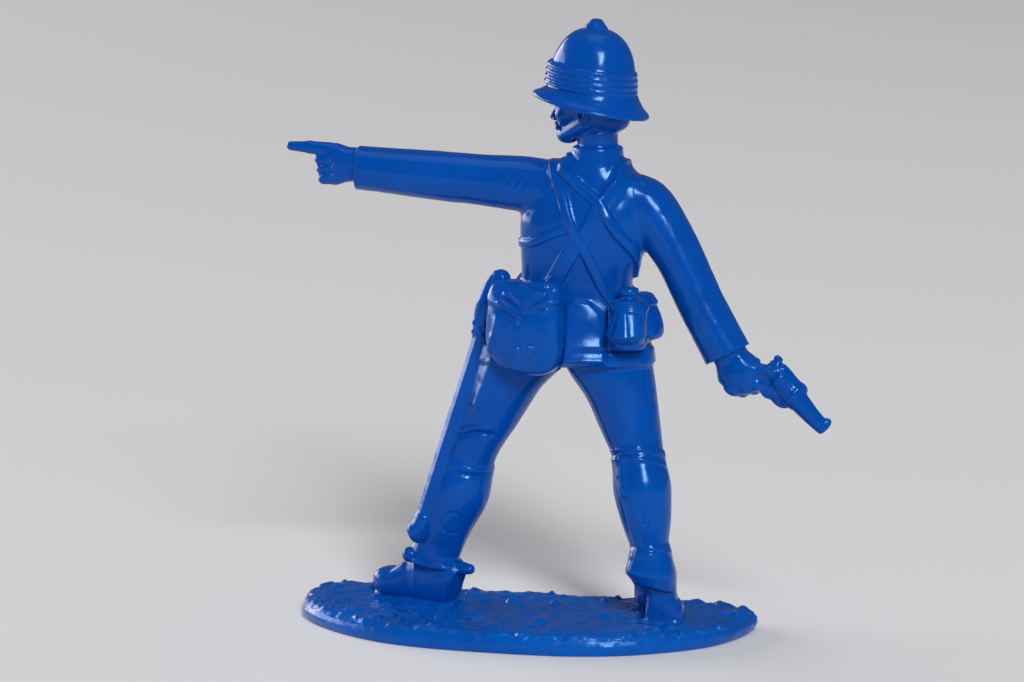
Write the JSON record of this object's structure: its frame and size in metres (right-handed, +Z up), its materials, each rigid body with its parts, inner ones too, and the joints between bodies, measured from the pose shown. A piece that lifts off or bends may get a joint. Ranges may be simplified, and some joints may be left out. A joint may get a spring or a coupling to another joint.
{
  "type": "toy soldier figure",
  "caption": "Moulded plastic toy soldier on an oval ground base: an officer in a sun helmet who points with one arm and lowers a revolver with the other, sword and haversack at the hip.",
  "frame": {"origin": "middle of the ground base, on its flat underside", "axes": "+Z up, +Y the way the chest faces, +X to the figure's right"},
  "size_m": [0.0519, 0.02, 0.058],
  "materials": {
    "blue_plastic": "glossy moulded, unpainted"
  },
  "bodies": {
    "root": {"base": "blue_plastic", "left_boot": "blue_plastic", "left_spur": "blue_plastic", "left_gaiter": "blue_plastic", "left_breeches": "blue_plastic", "right_boot": "blue_plastic", "right_foot_web": "blue_plastic", "right_gaiter": "blue_plastic", "right_breeches": "blue_plastic", "tunic": "blue_plastic", "collar": "blue_plastic", "tunic_buttons": "blue_plastic", "left_sleeve": "blue_plastic", "left_hand": "blue_plastic", "right_sleeve": "blue_plastic", "right_hand": "blue_plastic", "head": "blue_plastic", "helmet": "blue_plastic", "pagri": "blue_plastic", "ventilator": "blue_plastic", "haversack": "blue_plastic", "haversack_flap": "blue_plastic", "haversack_strap": "blue_plastic", "water_bottle": "blue_plastic", "bottle_stopper": "blue_plastic", "bottle_cradle": "blue_plastic", "bottle_strap": "blue_plastic", "cross_strap": "blue_plastic", "side_strap": "blue_plastic", "holster": "blue_plastic", "scabbard": "blue_plastic", "chape": "blue_plastic", "sword_grip": "blue_plastic", "sword_guard": "blue_plastic", "revolver_frame": "blue_plastic", "revolver_cylinder": "blue_plastic", "revolver_barrel": "blue_plastic", "revolver_hammer": "blue_plastic"}
  },
  "joints": []
}
